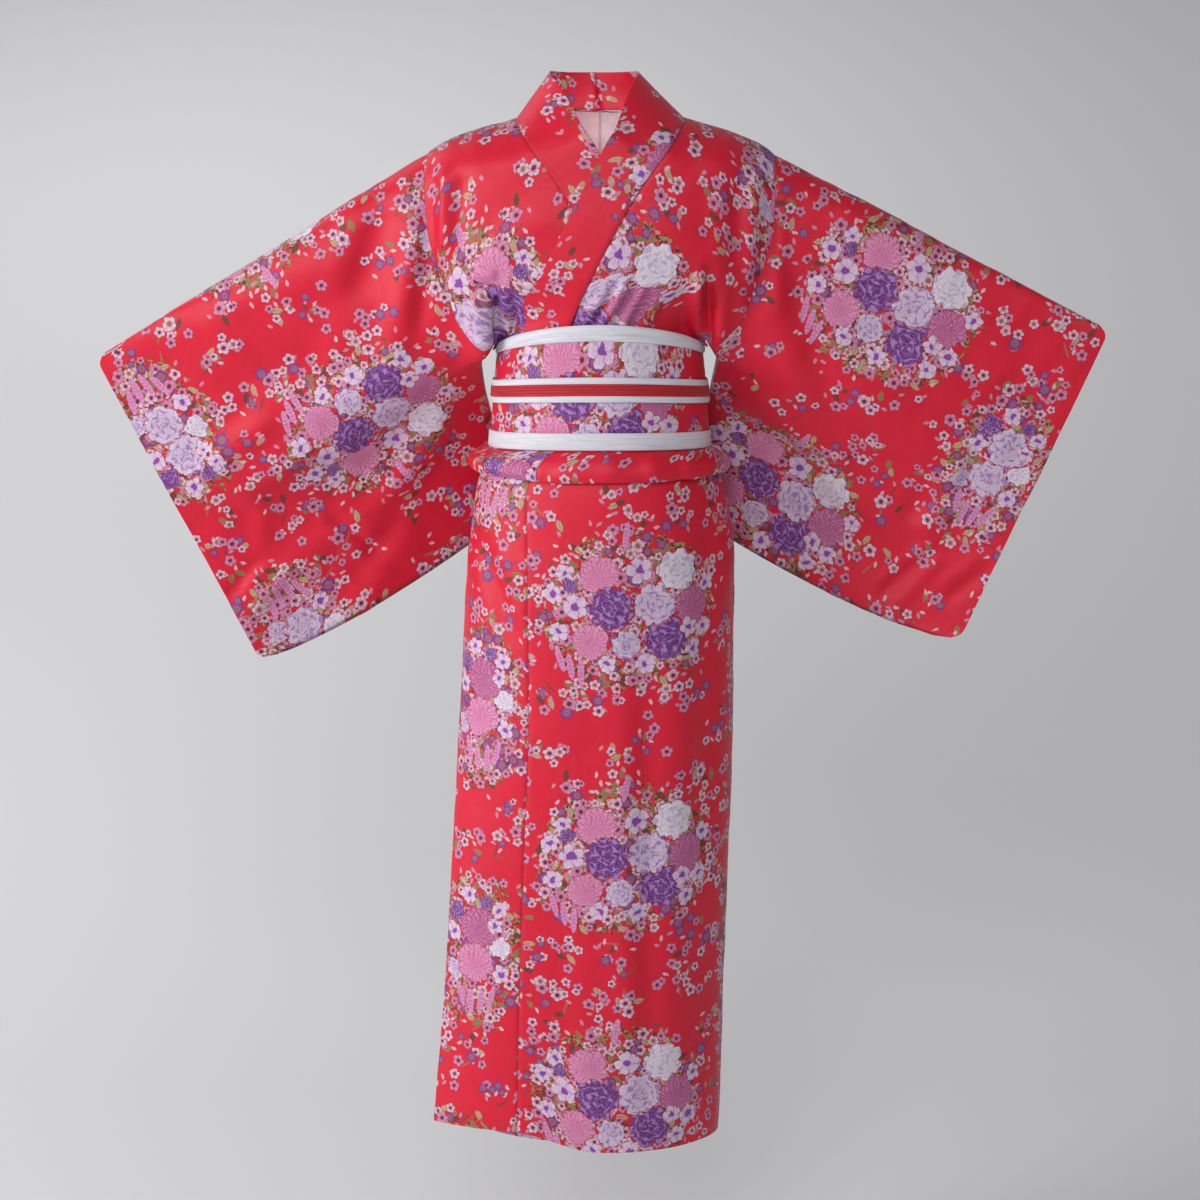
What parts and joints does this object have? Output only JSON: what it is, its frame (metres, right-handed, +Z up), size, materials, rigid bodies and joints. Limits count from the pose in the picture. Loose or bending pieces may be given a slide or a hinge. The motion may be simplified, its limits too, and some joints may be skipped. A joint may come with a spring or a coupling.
{
  "type": "worn cotton kimono with obi",
  "caption": "Printed cotton kimono in its worn shape, lapped left over right, with open square sleeves, a tucked waist and a belted obi.",
  "frame": {"origin": "middle of the wearer's neck, level with the tops of the shoulders, where the worn garment is carried", "axes": "+X towards the wearer's left, -Y the way the wearer faces, +Z up"},
  "size_m": [1.252, 0.2329, 1.3621],
  "materials": {
    "cotton": "printed cotton, soft satin",
    "obi": "printed cotton over a firm band",
    "white_belt": "white woven band",
    "cord": "red ribbed braid"
  },
  "bodies": {
    "root": {"body_left": "cotton", "body_right": "cotton", "collar_left": "cotton", "collar_right": "cotton", "sleeve_left": "cotton", "sleeve_right": "cotton", "skirt_back_left": "cotton", "skirt_back_right": "cotton", "skirt_front_left": "cotton", "skirt_front_right": "cotton", "overlap_left": "cotton", "overlap_right": "cotton", "tuck_back": "cotton", "tuck_front": "cotton", "tuck_overlap": "cotton", "obi_band": "obi", "sash_upper": "white_belt", "belt_lower": "white_belt", "cord_edge_upper": "white_belt", "cord_edge_lower": "white_belt", "obi_cord": "cord"}
  },
  "joints": []
}
